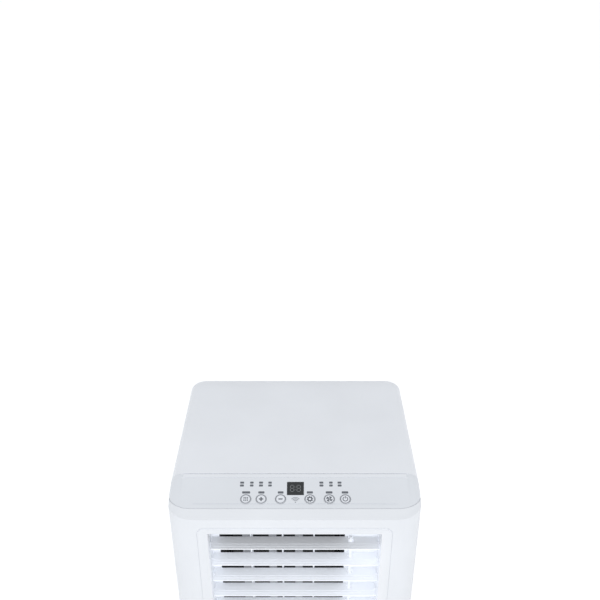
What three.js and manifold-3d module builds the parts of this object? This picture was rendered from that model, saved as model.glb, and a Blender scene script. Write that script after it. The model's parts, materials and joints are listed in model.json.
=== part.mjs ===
// A compact portable air conditioner on casters: casing, lid with an inclined control strip, linked
// louvres and vanes, and the refrigeration parts inside. Millimetres, +Z up, front towards -Y,
// origin on the floor under the middle of the footprint.
import * as THREE from "three";
import { mergeGeometries, mergeVertices } from "three/addons/utils/BufferGeometryUtils.js";
import Module from "manifold-3d";

const wasm = await Module();
wasm.setup();

// ---- Driving dimensions ----
const WIDTH = 333;
const DEPTH = 292;
const HEIGHT = 685;
const HALF_W = WIDTH / 2;
const HALF_D = DEPTH / 2;
const GAP = 0.4; // clearance between neighbouring pieces
const WALL = 2.5;
const PAST = 5; // how far a cutting solid runs past the face that it cuts
const THROUGH = 10; // how deep a cut through a wall starts inside it

const FRONT_CORNER_R = 34;
const BACK_CORNER_R = 22;
const CORNER_STEPS = 6;
const CASING_BOTTOM = 58;

// Lid and control strip
const SHOULDER = 11; // chamfer of the casing's top front edge, in plan
const SHOULDER_DROP = 8.7;
const SIDE_EASE = 1; // height of the plain edge where there is no chamfer
const STRIP_DEPTH = 45.5; // front edge to the kink, in plan
const BAND_DEPTH = 8.5; // level band between the kink and the lid's seam
const STRIP_TILT = THREE.MathUtils.degToRad(13.4);
const STRIP_FRONT_Y = -HALF_D + SHOULDER;
const KINK_Y = STRIP_FRONT_Y + STRIP_DEPTH;
const SEAM_Y = KINK_Y + BAND_DEPTH;
const STRIP_CORNER_R = 30;
const SIDE_ROLL = 24; // how far in from the edge the lid starts to roll down
const BACK_ROLL = 46;
const ROLL_DROP = 14;
const ROLL_POWER = 2.3;
const ROLL_STEPS = 7;
const SIDE_SEAM_Z = HEIGHT - 20.5;
const RIM_WALL = 3;
const UNDER_LID_Z = HEIGHT - 85; // well below the lid, where cuts up through it start

// Louvred outlet
const BORDER_HALF_W = 126.4;
const BORDER_TOP = HEIGHT - 35.3;
const BORDER_PROUD = 0.8;
const BORDER_CORNER_R = 9;
const OPENING_HALF_W = 112.8;
const OPENING_TOP = HEIGHT - 44.1;
const LOUVRE_COUNT = 8;
const LOUVRE_PITCH = 30.3;
const FIRST_LOUVRE_Z = HEIGHT - 77.4;
const OPENING_BOTTOM = FIRST_LOUVRE_Z - (LOUVRE_COUNT - 1) * LOUVRE_PITCH - 14;
const BORDER_BOTTOM = OPENING_BOTTOM - 9;
const LOUVRE_PIVOT_Y = -HALF_D + 15.5;
const LOUVRE_CHORD = 22;
const LINK_X = 75;
const LINK_OFFSET = 7; // from a blade's pivot back to its link pin
const DUCT_LEFT = -102;
const DUCT_RIGHT = 67.7;
const BACK_PLATE_Y = -HALF_D + 30;
const DUCT_END_Y = -HALF_D + 64;
const VANE_COUNT = 3;
const VANE_SPACING = 43.2;
const VANE_MID_X = -17;
const VANE_CHORD = 28;
const VANE_PIVOT_Y = BACK_PLATE_Y + 16;
const VANE_LINK_Z = 560;
const RIB = { count: 3, midX: -32, spacing: 37.4, halfW: 5, depth: 2 }; // upright, behind the vanes

// Base and casters
const TRAY_BOTTOM = 40;
const TRAY_TOP = 76;
const CASTER_X = 118;
const CASTER_Y = 96;
const CASTER_TRAIL = 9;
const CASTER_WHEEL_R = 17;

// Rear face
const UPPER_WINDOW = { halfW: 120, bottom: 425, top: 632 };
const LOWER_WINDOW = { halfW: 120, bottom: 84, top: 232 };
const EXHAUST = { x: 62, z: 310, bore: 60, tube: 63, flange: 74 };
const DRAIN_X = -112;
const UPPER_DRAIN_Z = 384;
const LOWER_DRAIN_X = DRAIN_X + 30;
const LOWER_DRAIN_Z = 50;
const DRAIN_HOLE_R = 4.6;
const GLAND = { x: -112, z: 320, r: 9 };
const HANDLE = {
  y: 44,
  z: 560,
  halfL: 50,
  halfH: 17,
  depth: 24,
  cornerR: 8,
  wall: 2.5,
  rim: 6, // width of the flush rim round the grip's mouth
};

// Inside
const PARTITION_Z = 374;
const EXCHANGER = { halfW: 122, front: 96, back: 126 };
const EVAPORATOR = { low: 404, high: 636, rows: 7 };
const CONDENSER = { low: 70, high: 236, rows: 5 };
const UPPER_FAN = { y: 4, z: 510, wheelR: 66, scrollR: 80, inletR: 52 };
const LOWER_FAN = { x: 62, z: 172, wheelR: 62, scrollR: 76, inletR: 44 };
const FAN_BORE_R = 4.2;
const SHAFT_R = 3.8;
const COMPRESSOR = { x: -84, y: -40, r: 48, bottom: 54, top: 236 };
const ACCUMULATOR = { x: -14, y: -92, r: 17, bottom: 96, top: 206 };
const CONTROL_BOX = { x0: 30, x1: 145, y0: -134, y1: -84, z0: 205, z1: 335, wall: 2 };

// Pipe routes, as points that a smooth curve runs through
const SUCTION_PIPE = {
  radius: 4,
  steps: 20,
  route: [
    [-135, 111, 420],
    [-146, 104, 412],
    [-151, 90, 380],
    [-148, 50, 320],
    [-110, -20, 272],
    [-40, -80, 258],
    [ACCUMULATOR.x, ACCUMULATOR.y, 236],
    [ACCUMULATOR.x, ACCUMULATOR.y, ACCUMULATOR.top + GAP],
  ],
};
const DISCHARGE_PIPE = {
  radius: 3.5,
  steps: 16,
  route: [
    [-110, -66, COMPRESSOR.top - 2],
    [-114, -66, 252],
    [-140, -30, 262],
    [-148, 30, 258],
    [-146, 90, 244],
    [-135, 111, 236],
  ],
};
const CAPILLARY_TUBE = {
  radius: 1.6,
  steps: 18,
  route: [
    [-134, 111, 76],
    [-148, 108, 84],
    [-153, 106, 150],
    [-153, 106, 360],
    [-153, 106, 560],
    [-148, 108, 606],
    [-134, 111, 612],
  ],
};

// ---- Materials ----
const paint = (color, roughness, metalness = 0) =>
  new THREE.MeshStandardMaterial({ color, roughness, metalness });
const SHELL_WHITE = paint(0xf1f2f5, 0.45);
const LID_GREY = paint(0xdde0e5, 0.4);
const LOUVRE_WHITE = paint(0xe6e8ee, 0.5);
const BUTTON_GREY = paint(0xe4e6ea, 0.45);
const DISPLAY_BLACK = paint(0x15181a, 0.15);
const DARK_PLASTIC = paint(0x202225, 0.6);
const GREY_PLASTIC = paint(0x9da1a6, 0.6);
const RUBBER = paint(0x26272a, 0.85);
const ALUMINIUM = paint(0xb9bdc2, 0.4, 0.9);
const COPPER = paint(0xb87548, 0.35, 1);
const STEEL = paint(0xa9adb1, 0.4, 0.9);
const BLACK_PAINT = paint(0x1b1c1e, 0.5);
const CIRCUIT_GREEN = paint(0x2f6b45, 0.6);
const FILTER_GREY = paint(0x5c6268, 0.8);

// ---- Solids ----
function solid(geometry) {
  const bare = geometry.index ? geometry.toNonIndexed() : geometry.clone();
  bare.deleteAttribute("normal");
  bare.deleteAttribute("uv");
  const merged = mergeVertices(bare, 1e-4);
  return new wasm.Manifold(
    new wasm.Mesh({
      numProp: 3,
      vertProperties: merged.attributes.position.array,
      triVerts: new Uint32Array(merged.index.array),
    }),
  );
}

function geometryOf(manifold) {
  const mesh = manifold.getMesh();
  const positions = new Float32Array(mesh.numVert * 3);
  for (let i = 0; i < mesh.numVert; i++) {
    const at = mesh.numProp * i;
    positions.set(mesh.vertProperties.subarray(at, at + 3), 3 * i);
  }
  const geometry = new THREE.BufferGeometry();
  geometry.setAttribute("position", new THREE.BufferAttribute(positions, 3));
  geometry.setIndex(new THREE.BufferAttribute(new Uint32Array(mesh.triVerts), 1));
  return geometry;
}

const join = (...parts) => parts.reduce((a, b) => a.add(b));
const cut = (body, ...tools) => tools.reduce((a, b) => a.subtract(b), body);

function box(x0, x1, y0, y1, z0, z1) {
  const geometry = new THREE.BoxGeometry(x1 - x0, y1 - y0, z1 - z0);
  return solid(geometry.translate((x0 + x1) / 2, (y0 + y1) / 2, (z0 + z1) / 2));
}

// A cylinder from one point to another along an axis.
function rod(axis, radius, from, to, at, segments = 12) {
  const geometry = new THREE.CylinderGeometry(radius, radius, to - from, segments);
  const middle = (from + to) / 2;
  if (axis === "x") geometry.rotateZ(Math.PI / 2).translate(middle, at[0], at[1]);
  if (axis === "y") geometry.translate(at[0], middle, at[1]);
  if (axis === "z") geometry.rotateX(Math.PI / 2).translate(at[0], at[1], middle);
  return solid(geometry);
}

// A flat outline pushed along an axis. The outline's own two axes are the other two, in X, Y, Z order.
function push(shape, axis, from, to, curveSegments = 8) {
  const geometry = new THREE.ExtrudeGeometry(shape, {
    depth: to - from,
    bevelEnabled: false,
    curveSegments,
  });
  geometry.translate(0, 0, from);
  const order = { x: [2, 0, 1], y: [0, 2, 1], z: [0, 1, 2] }[axis];
  const p = geometry.attributes.position;
  for (let i = 0; i < p.count; i++) {
    const v = [p.getX(i), p.getY(i), p.getZ(i)];
    p.setXYZ(i, v[order[0]], v[order[1]], v[order[2]]);
  }
  return axis === "y" ? solid(flipped(geometry)) : solid(geometry);
}

function flipped(geometry) {
  const plain = geometry.index ? geometry.toNonIndexed() : geometry;
  const p = plain.attributes.position;
  for (let i = 0; i < p.count; i += 3) {
    const a = new THREE.Vector3().fromBufferAttribute(p, i + 1);
    const b = new THREE.Vector3().fromBufferAttribute(p, i + 2);
    p.setXYZ(i + 1, b.x, b.y, b.z);
    p.setXYZ(i + 2, a.x, a.y, a.z);
  }
  return plain;
}

function roundedRect(x0, x1, y0, y1, r) {
  const shape = new THREE.Shape();
  shape.moveTo(x0 + r, y0);
  shape.lineTo(x1 - r, y0);
  shape.absarc(x1 - r, y0 + r, r, -Math.PI / 2, 0);
  shape.lineTo(x1, y1 - r);
  shape.absarc(x1 - r, y1 - r, r, 0, Math.PI / 2);
  shape.lineTo(x0 + r, y1);
  shape.absarc(x0 + r, y1 - r, r, Math.PI / 2, Math.PI);
  shape.lineTo(x0, y0 + r);
  shape.absarc(x0 + r, y0 + r, r, Math.PI, (3 * Math.PI) / 2);
  return shape;
}

// Plan outline of the casing as points, anticlockwise from the back right corner.
function planOutline({
  inset = 0,
  backInset = inset,
  frontY = -HALF_D,
  frontR = FRONT_CORNER_R,
  frontInset = inset,
}) {
  const points = [];
  const x = HALF_W - inset;
  const back = HALF_D - backInset;
  const front = frontY + frontInset;
  const corners = [
    [x, back, Math.max(BACK_CORNER_R - inset * 0.5, 8), 0],
    [-x, back, Math.max(BACK_CORNER_R - inset * 0.5, 8), 1],
    [-x, front, Math.max(frontR - inset, 4), 2],
    [x, front, Math.max(frontR - inset, 4), 3],
  ];
  for (const [cx, cy, r, quarter] of corners) {
    for (let k = 0; k <= CORNER_STEPS; k++) {
      const angle = (quarter + k / CORNER_STEPS) * (Math.PI / 2);
      points.push([
        cx - Math.sign(cx) * r + r * Math.cos(angle),
        cy - (quarter < 2 ? r : -r) + r * Math.sin(angle),
      ]);
    }
  }
  return points;
}

// A closed solid through rings of equal point count, bottom ring first.
function loft(rings) {
  const n = rings[0].length;
  const positions = [];
  const face = (...points) => points.forEach((p) => positions.push(...p));
  for (let k = 0; k + 1 < rings.length; k++) {
    for (let i = 0; i < n; i++) {
      const j = (i + 1) % n;
      face(rings[k][i], rings[k][j], rings[k + 1][j]);
      face(rings[k][i], rings[k + 1][j], rings[k + 1][i]);
    }
  }
  const caps = [rings[0], rings[rings.length - 1]];
  caps.forEach((ring, isTop) => {
    const flat = ring.map((p) => new THREE.Vector2(p[0], p[1]));
    for (const [a, b, c] of THREE.ShapeUtils.triangulateShape(flat, [])) {
      const [second, third] = isTop ? [b, c] : [c, b];
      face(ring[a], ring[second], ring[third]);
    }
  });
  const geometry = new THREE.BufferGeometry();
  geometry.setAttribute("position", new THREE.Float32BufferAttribute(positions, 3));
  return solid(geometry);
}

const atHeight = (outline, z) => outline.map(([x, y]) => [x, y, z]);
const prism = (outline, from, to) => loft([atHeight(outline, from), atHeight(outline, to)]);

// A pipe along a smooth curve through the points of its route.
const PIPE_SIDES = 6;
function pipe({ route, radius, steps }) {
  const corners = [];
  for (let k = 0; k < PIPE_SIDES; k++) {
    const a = (k / PIPE_SIDES) * 2 * Math.PI;
    corners.push(new THREE.Vector2(radius * Math.cos(a), radius * Math.sin(a)));
  }
  const section = new THREE.Shape(corners);
  const path = new THREE.CatmullRomCurve3(route.map((p) => new THREE.Vector3(...p)));
  return solid(new THREE.ExtrudeGeometry(section, { steps, extrudePath: path, bevelEnabled: false }));
}

const group = new THREE.Group();
function add(name, manifold, material) {
  const mesh = new THREE.Mesh(geometryOf(manifold), material);
  mesh.name = name;
  group.add(mesh);
  return mesh;
}

// ---- Casing ----
const rollAt = (distance) => {
  const p = Math.max(0, 1 - distance / SIDE_ROLL);
  return ROLL_DROP * (1 - (1 - p ** ROLL_POWER) ** (1 / ROLL_POWER));
};
const slopeAt = (y) => Math.max(0, KINK_Y - y) * Math.tan(STRIP_TILT);
const rimOutline = planOutline({ frontY: STRIP_FRONT_Y, frontR: STRIP_CORNER_R });
const bodyOutline = planOutline({});

function casing() {
  const rim = rimOutline.map(([x, y]) =>
    y > STRIP_FRONT_Y + STRIP_CORNER_R - 0.1
      ? SIDE_SEAM_Z
      : Math.max(SIDE_SEAM_Z, HEIGHT - rollAt(HALF_W - Math.abs(x)) - slopeAt(y)),
  );
  const blend = bodyOutline.map(([x, y], i) => {
    const reach = Math.hypot(x - rimOutline[i][0], y - rimOutline[i][1]);
    return SIDE_EASE + (SHOULDER_DROP - SIDE_EASE) * Math.min(1, reach / SHOULDER);
  });
  const rings = [
    atHeight(planOutline({ inset: 1 }), CASING_BOTTOM),
    atHeight(bodyOutline, CASING_BOTTOM + 3),
    bodyOutline.map(([x, y], i) => [x, y, rim[i] - blend[i]]),
    rimOutline.map(([x, y], i) => [x, y, rim[i]]),
  ];
  return cut(
    loft(rings),
    prism(planOutline({ inset: WALL }), CASING_BOTTOM - PAST, SIDE_SEAM_Z - 10),
    prism(
      planOutline({ inset: RIM_WALL, frontY: STRIP_FRONT_Y, frontR: STRIP_CORNER_R }),
      UNDER_LID_Z,
      HEIGHT + PAST,
    ),
    prism(rimOutline, SIDE_SEAM_Z, HEIGHT + PAST),
  );
}

const SHELL_SPLIT_Y = -20;
function frontShell(body) {
  const front = body.intersect(
    box(-HALF_W - PAST, HALF_W + PAST, -HALF_D - PAST, SHELL_SPLIT_Y, 0, HEIGHT + PAST),
  );
  const opening = roundedRect(
    -BORDER_HALF_W - GAP,
    BORDER_HALF_W + GAP,
    BORDER_BOTTOM - GAP,
    BORDER_TOP + GAP,
    BORDER_CORNER_R + GAP,
  );
  return cut(front, push(opening, "y", -HALF_D - PAST, -HALF_D + THROUGH));
}

function rearShell(body) {
  const rear = body.intersect(
    box(-HALF_W - PAST, HALF_W + PAST, SHELL_SPLIT_Y + GAP, HALF_D + PAST, 0, HEIGHT + PAST),
  );
  const windows = [UPPER_WINDOW, LOWER_WINDOW].map(({ halfW, bottom, top }) =>
    push(roundedRect(-halfW, halfW, bottom, top, 8), "y", HALF_D - THROUGH, HALF_D + PAST, 3),
  );
  const handles = [-1, 1].map((side) => {
    const ends = [side * (HALF_W - THROUGH), side * (HALF_W + PAST)];
    return push(handleOutline(-HANDLE.rim), "x", Math.min(...ends), Math.max(...ends), 4);
  });
  const hole = (radius, x, z, sides) =>
    rod("y", radius, HALF_D - THROUGH, HALF_D + PAST, [x, z], sides);
  return cut(
    rear,
    ...windows,
    ...handles,
    hole(EXHAUST.tube + GAP, EXHAUST.x, EXHAUST.z, 32),
    hole(DRAIN_HOLE_R, DRAIN_X, UPPER_DRAIN_Z, 12),
    hole(GLAND.r + GAP, GLAND.x, GLAND.z, 16),
  );
}

// ---- Lid and control strip ----
// Everything under the rolled top surface, down to the side seam, with the front left long.
function underLid(inset, drop) {
  const long = -HALF_D - 74;
  const rings = [atHeight(planOutline({ inset, frontY: long, frontInset: 0 }), SIDE_SEAM_Z - 30)];
  for (let k = 0; k <= ROLL_STEPS; k++) {
    const t = (k / ROLL_STEPS) * (Math.PI / 2);
    const inwards = 1 - Math.cos(t) ** (2 / ROLL_POWER);
    const up = ROLL_DROP * Math.sin(t) ** (2 / ROLL_POWER);
    rings.push(
      atHeight(
        planOutline({
          inset: inset + SIDE_ROLL * inwards,
          backInset: inset + BACK_ROLL * inwards,
          frontY: long,
          frontInset: 0,
        }),
        HEIGHT - ROLL_DROP - drop + up,
      ),
    );
  }
  return loft(rings);
}

const slice = (y0, y1, z0 = SIDE_SEAM_Z + GAP) =>
  box(-HALF_W - PAST, HALF_W + PAST, y0, y1, z0, HEIGHT + PAST);

function topCover() {
  const outer = underLid(0, 0).intersect(slice(SEAM_Y, HALF_D + PAST));
  const inner = underLid(WALL, WALL).intersect(slice(SEAM_Y + WALL, HALF_D + PAST, UNDER_LID_Z));
  return cut(outer, inner);
}

function tilted(manifold) {
  const geometry = geometryOf(manifold);
  const p = geometry.attributes.position;
  for (let i = 0; i < p.count; i++) p.setZ(i, p.getZ(i) - slopeAt(p.getY(i)));
  return solid(geometry);
}

const BUTTON_X = [-63.6, -43.6, -18.4, 19.8, 45, 65.8];
const BUTTON_R = 6.9;
const BUTTON_U = 14.1; // up the strip from its front edge
const DISPLAY = { x: 0.9, halfW: 10.8, low: 20.4, high: 39.8 };
const WINDOW_THICK = 1;

// Places a solid drawn flat, with X across, Y up the slope and Z out of it, onto the strip.
function onStrip(manifold) {
  const geometry = geometryOf(manifold);
  geometry.rotateX(STRIP_TILT);
  geometry.translate(0, STRIP_FRONT_Y, HEIGHT - slopeAt(STRIP_FRONT_Y));
  return solid(geometry);
}

// The lid's surface over the strip, sloping in front of the kink and level behind it.
function stripBlock(inset, back) {
  const sloping = tilted(underLid(inset, inset).intersect(slice(-200, KINK_Y, UNDER_LID_Z)));
  const level = underLid(inset, inset).intersect(slice(KINK_Y, back, UNDER_LID_Z));
  return join(sloping, level).intersect(
    prism(
      planOutline({ inset: GAP + inset, frontY: STRIP_FRONT_Y, frontR: STRIP_CORNER_R }),
      inset ? UNDER_LID_Z : SIDE_SEAM_Z + GAP,
      HEIGHT + PAST,
    ),
  );
}

const PANEL_WALL = 3;
const GROOVE = { halfW: 1.1, depth: 0.7 }; // along the kink
const REBATE = { width: 2, depth: 0.9 }; // along the joint with the lid
const LINE_U = 7; // fine line along the strip's front edge
const LINE_HALF_L = 132;
const LINE_DEPTH = 0.5;
function controlPanel() {
  const { x, halfW, low, high } = DISPLAY;
  const d = GAP;
  const recess = box(x - halfW - d, x + halfW + d, low - d, high + d, -WINDOW_THICK - d, 20);
  const window = box(x - halfW + 2, x + halfW - 2, low + 2, high - 2, -20, 20);
  const line = box(-LINE_HALF_L, LINE_HALF_L, LINE_U - LINE_DEPTH, LINE_U + LINE_DEPTH, -LINE_DEPTH, 20);
  const across = (y0, y1, depth) => box(-HALF_W, HALF_W, y0, y1, HEIGHT - depth, HEIGHT + PAST);
  const holes = BUTTON_X.map((at) => rod("z", BUTTON_R + GAP, -20, 20, [at, BUTTON_U], 20));
  return cut(
    stripBlock(0, SEAM_Y - GAP),
    stripBlock(PANEL_WALL, SEAM_Y - GAP - WALL),
    across(KINK_Y - GROOVE.halfW, KINK_Y + GROOVE.halfW, GROOVE.depth),
    across(SEAM_Y - REBATE.width, SEAM_Y, REBATE.depth),
    onStrip(join(recess, window, line, ...holes)),
  );
}

const WINDOW_PROUD = 0.1;
function displayWindow() {
  const { x, halfW, low, high } = DISPLAY;
  return onStrip(box(x - halfW, x + halfW, low, high, -WINDOW_THICK, WINDOW_PROUD));
}

const BUTTON_PROUD = 0.25;
const BUTTON_LENGTH = 4.45;
const button = (x) =>
  onStrip(rod("z", BUTTON_R, BUTTON_PROUD - BUTTON_LENGTH, BUTTON_PROUD, [x, BUTTON_U], 20));

const BOARD = { halfW: 80, front: 6, back: 47, depth: 8, thick: 1.6 };
const controlBoard = () =>
  onStrip(
    box(-BOARD.halfW, BOARD.halfW, BOARD.front, BOARD.back, -BOARD.depth - BOARD.thick, -BOARD.depth),
  );

// ---- Blades: a louvre or a vane with end pins and a notch that a link bar passes through ----
// Drawn along X at the origin, chord along Y, and then placed.
const PIN_R = 1.9;
const LINK_PIN_R = 1.3;
const LINK_HOLE_R = LINK_PIN_R + 0.4;
const LINK_HALF_W = 2.8;
const LINK_HALF_T = 1.7;
const LINK_CORNER_R = 2.4;
const LINK_END = 5; // from the last pin to the bar's end
const NOTCH_HALF = 3.5;
const NOTCH_REACH = 6.2; // from the link pin forward to the end of the notch
const BLADE_HALF_T = 0.9;
function blade({ from, to, chord, linkAt }) {
  const front = -chord / 2;
  const back = chord / 2;
  const profile = new THREE.Shape();
  profile.moveTo(front, -BLADE_HALF_T * 0.6);
  profile.lineTo(front + 1, -BLADE_HALF_T);
  profile.lineTo(back - 1, -BLADE_HALF_T);
  profile.lineTo(back, -BLADE_HALF_T * 0.4);
  profile.lineTo(back, BLADE_HALF_T * 0.4);
  profile.lineTo(back - 1, BLADE_HALF_T);
  profile.lineTo(front + 1, BLADE_HALF_T);
  profile.lineTo(front, BLADE_HALF_T * 0.6);
  profile.closePath();
  const body = push(profile, "x", from, to);
  const notch = box(linkAt - NOTCH_HALF, linkAt + NOTCH_HALF, LINK_OFFSET - NOTCH_REACH, back + 1, -5, 5);
  return join(
    cut(body, notch),
    rod("x", PIN_R, from - 3, from + 2, [0, 0], 8),
    rod("x", PIN_R, to - 2, to + 3, [0, 0], 8),
    rod("x", LINK_PIN_R, linkAt - NOTCH_HALF - 1, linkAt + NOTCH_HALF + 1, [LINK_OFFSET, 0], 6),
  );
}

const LOUVRE_HALF_L = OPENING_HALF_W - 1.2;
const louvreZ = (i) => FIRST_LOUVRE_Z - i * LOUVRE_PITCH;
const louvre = () =>
  blade({ from: -LOUVRE_HALF_L, to: LOUVRE_HALF_L, chord: LOUVRE_CHORD, linkAt: LINK_X });

function louvreLink() {
  const y = LOUVRE_PIVOT_Y + LINK_OFFSET;
  const low = louvreZ(LOUVRE_COUNT - 1) - LINK_END;
  const high = louvreZ(0) + LINK_END;
  const outline = roundedRect(y - LINK_HALF_W, y + LINK_HALF_W, low, high, LINK_CORNER_R);
  const bar = push(outline, "x", LINK_X - LINK_HALF_T, LINK_X + LINK_HALF_T, 3);
  const holes = [];
  for (let i = 0; i < LOUVRE_COUNT; i++) {
    holes.push(rod("x", LINK_HOLE_R, LINK_X - PAST, LINK_X + PAST, [y, louvreZ(i)], 8));
  }
  return cut(bar, ...holes);
}

const VANE_TOP = OPENING_TOP - 2;
const VANE_BOTTOM = OPENING_BOTTOM + 2;
const vaneX = (i) => VANE_MID_X + (i - 1) * VANE_SPACING;
const vane = () =>
  blade({ from: VANE_BOTTOM, to: VANE_TOP, chord: VANE_CHORD, linkAt: VANE_LINK_Z });

function vaneLink() {
  const y = VANE_PIVOT_Y + LINK_OFFSET;
  const left = vaneX(0) - LINK_END;
  const right = vaneX(VANE_COUNT - 1) + LINK_END;
  const outline = roundedRect(left, right, y - LINK_HALF_W, y + LINK_HALF_W, LINK_CORNER_R);
  const bar = push(outline, "z", VANE_LINK_Z - LINK_HALF_T, VANE_LINK_Z + LINK_HALF_T, 3);
  const holes = [];
  for (let i = 0; i < VANE_COUNT; i++) {
    holes.push(rod("z", LINK_HOLE_R, VANE_LINK_Z - PAST, VANE_LINK_Z + PAST, [vaneX(i), y], 10));
  }
  return cut(bar, ...holes);
}

// The outlet frame: a border on the front face, a tunnel for the louvres, and a sleeve for the
// vanes that ends in upright ribs.
const TUNNEL_WALL = 3;
const PIVOT_CLEARANCE = 0.4;
function louvreFrame() {
  const border = push(
    roundedRect(-BORDER_HALF_W, BORDER_HALF_W, BORDER_BOTTOM, BORDER_TOP, BORDER_CORNER_R),
    "y",
    -HALF_D - BORDER_PROUD,
    -HALF_D + WALL,
    4,
  );
  const passage = (x0, x1, y0, y1, grow) =>
    box(x0 - grow, x1 + grow, y0, y1, OPENING_BOTTOM - grow, OPENING_TOP + grow);
  const tunnel = passage(-OPENING_HALF_W, OPENING_HALF_W, -HALF_D, BACK_PLATE_Y + 2, TUNNEL_WALL);
  const sleeve = passage(DUCT_LEFT, DUCT_RIGHT, BACK_PLATE_Y, DUCT_END_Y, TUNNEL_WALL);
  const radius = PIN_R + PIVOT_CLEARANCE;
  const past = OPENING_HALF_W + THROUGH;
  const holes = [];
  for (let i = 0; i < LOUVRE_COUNT; i++) {
    holes.push(rod("x", radius, -past, past, [LOUVRE_PIVOT_Y, louvreZ(i)], 8));
  }
  for (let i = 0; i < VANE_COUNT; i++) {
    holes.push(
      rod("z", radius, OPENING_BOTTOM - THROUGH, OPENING_TOP + THROUGH, [vaneX(i), VANE_PIVOT_Y], 8),
    );
  }
  const ribs = [];
  for (let i = 0; i < RIB.count; i++) {
    const x = RIB.midX + (i - (RIB.count - 1) / 2) * RIB.spacing;
    ribs.push(passage(x - RIB.halfW, x + RIB.halfW, DUCT_END_Y - RIB.depth, DUCT_END_Y, 0.5));
  }
  const frame = cut(
    join(border, tunnel, sleeve),
    passage(-OPENING_HALF_W, OPENING_HALF_W, -HALF_D - PAST, BACK_PLATE_Y, 0),
    passage(DUCT_LEFT, DUCT_RIGHT, BACK_PLATE_Y - PAST, DUCT_END_Y + PAST, 0),
    ...holes,
  );
  return join(frame, ...ribs);
}

// ---- Rear fittings ----
// A flat panel with two columns of level slots, which fills a window in the rear shell.
const PANEL = { margin: 1, rim: 12, cornerR: 7, depth: 6, middleBar: 3, slotShare: 0.6 };
function slottedPanel({ halfW, bottom, top }, slots) {
  const x = halfW - PANEL.margin;
  const low = bottom + PANEL.margin;
  const high = top - PANEL.margin;
  const outline = roundedRect(-x, x, low, high, PANEL.cornerR);
  const panel = push(outline, "y", HALF_D - PANEL.depth, HALF_D + BORDER_PROUD, 3);
  const pitch = (high - low - 2 * PANEL.rim) / slots;
  const slotHalf = (pitch * PANEL.slotShare) / 2;
  const slotEnd = x - PANEL.rim;
  const cutters = [];
  for (let i = 0; i < slots; i++) {
    const z = low + PANEL.rim + (i + 0.5) * pitch;
    const slot = (x0, x1) =>
      box(x0, x1, HALF_D - THROUGH, HALF_D + PAST, z - slotHalf, z + slotHalf);
    cutters.push(slot(-slotEnd, -PANEL.middleBar), slot(PANEL.middleBar, slotEnd));
  }
  return cut(panel, ...cutters);
}

// The filter's frame, with a thin floor in each of its panes that stands for the mesh.
const FILTER = { margin: 6, depth: 4, floor: 1, rim: 6, bar: 4, across: 3, down: 2 };
function airFilter() {
  const x = UPPER_WINDOW.halfW - FILTER.margin;
  const low = UPPER_WINDOW.bottom + FILTER.margin - 1;
  const high = UPPER_WINDOW.top - FILTER.margin + 1;
  const y = HALF_D - FILTER.margin * 2;
  const paneW = (2 * x - 2 * FILTER.rim - (FILTER.across - 1) * FILTER.bar) / FILTER.across;
  const paneH = (high - low - 2 * FILTER.rim - (FILTER.down - 1) * FILTER.bar) / FILTER.down;
  const panes = [];
  for (let i = 0; i < FILTER.across * FILTER.down; i++) {
    const x0 = -x + FILTER.rim + (i % FILTER.across) * (paneW + FILTER.bar);
    const z0 = low + FILTER.rim + Math.floor(i / FILTER.across) * (paneH + FILTER.bar);
    panes.push(box(x0, x0 + paneW, y + FILTER.floor, y + FILTER.depth + 1, z0, z0 + paneH));
  }
  return cut(box(-x, x, y, y + FILTER.depth, low, high), ...panes);
}

const FLANGE_PROUD = 3;
const COLLAR_START_Y = 82;
function exhaustCollar() {
  const at = [EXHAUST.x, EXHAUST.z];
  return cut(
    join(
      rod("y", EXHAUST.tube, COLLAR_START_Y, HALF_D + 1, at, 32),
      rod("y", EXHAUST.flange, HALF_D + GAP, HALF_D + FLANGE_PROUD, at, 32),
    ),
    rod("y", EXHAUST.bore, 0, HALF_D + THROUGH, at, 32),
  );
}

const PLUG = { stemR: 3.6, stem: 9, headR: 7, head: 3 };
function drainPlug(x, z, y) {
  return join(
    rod("y", PLUG.stemR, y - PLUG.stem, y + 1, [x, z], 12),
    rod("y", PLUG.headR, y, y + PLUG.head, [x, z], 16),
  );
}

const GLAND_FLANGE_R = 13;
const GLAND_BORE_R = 3.8;
function cordGland() {
  const at = [GLAND.x, GLAND.z];
  return cut(
    join(
      rod("y", GLAND.r, HALF_D - 12, HALF_D + 1, at, 16),
      rod("y", GLAND_FLANGE_R, HALF_D + GAP, HALF_D + FLANGE_PROUD, at, 16),
    ),
    rod("y", GLAND_BORE_R, HALF_D - 20, HALF_D + 20, at, 12),
  );
}

// A grip's outline on the side wall, shrunk all round.
const handleOutline = (shrink) =>
  roundedRect(
    HANDLE.y - HANDLE.halfL + shrink,
    HANDLE.y + HANDLE.halfL - shrink,
    HANDLE.z - HANDLE.halfH + shrink,
    HANDLE.z + HANDLE.halfH - shrink,
    HANDLE.cornerR - shrink,
  );

// A recessed grip: a cup behind the side wall, and a rim round its mouth that fills the wall's cutout.
function handleCup(side) {
  const block = (shrink, near, far) => {
    const ends = [side * near, side * far];
    return push(handleOutline(shrink), "x", Math.min(...ends), Math.max(...ends), 4);
  };
  const floor = HALF_W - HANDLE.depth;
  return cut(
    join(block(GAP, floor, HALF_W), block(GAP - HANDLE.rim, HALF_W - WALL, HALF_W)),
    block(GAP + HANDLE.wall, floor + HANDLE.wall, HALF_W + HANDLE.wall),
  );
}

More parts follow.
